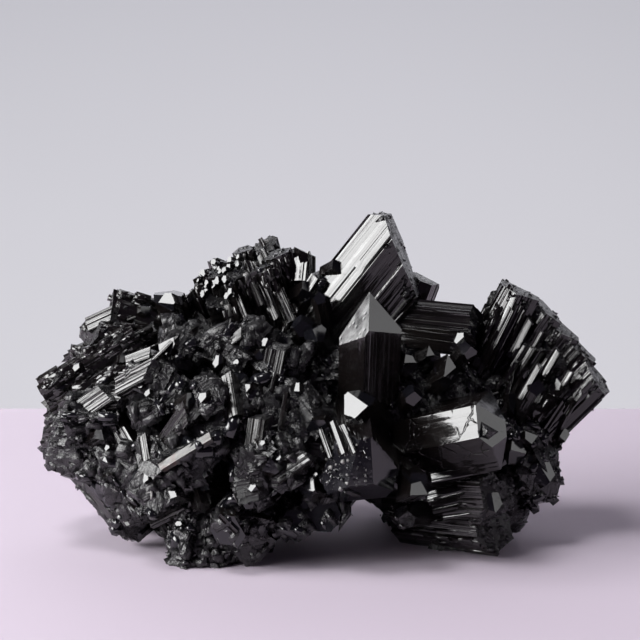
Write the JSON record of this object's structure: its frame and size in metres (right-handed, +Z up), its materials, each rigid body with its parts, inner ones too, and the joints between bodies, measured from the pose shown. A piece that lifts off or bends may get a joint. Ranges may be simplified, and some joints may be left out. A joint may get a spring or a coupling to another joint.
{
  "type": "black tourmaline crystal cluster",
  "caption": "Black tourmaline cluster: striated prisms and pyramid-ended crystals grown out of a splintered rock mass that rests on flat feet.",
  "frame": {"origin": "middle of the box that holds the cluster, on the plane it rests on", "axes": "+Z up, +X to the right along the longest side, -Y towards the front"},
  "size_m": [0.1208, 0.0728, 0.0695],
  "materials": {
    "tourmaline": "vitreous black"
  },
  "bodies": {
    "root": {"tourmaline_cluster": "tourmaline"}
  },
  "joints": []
}
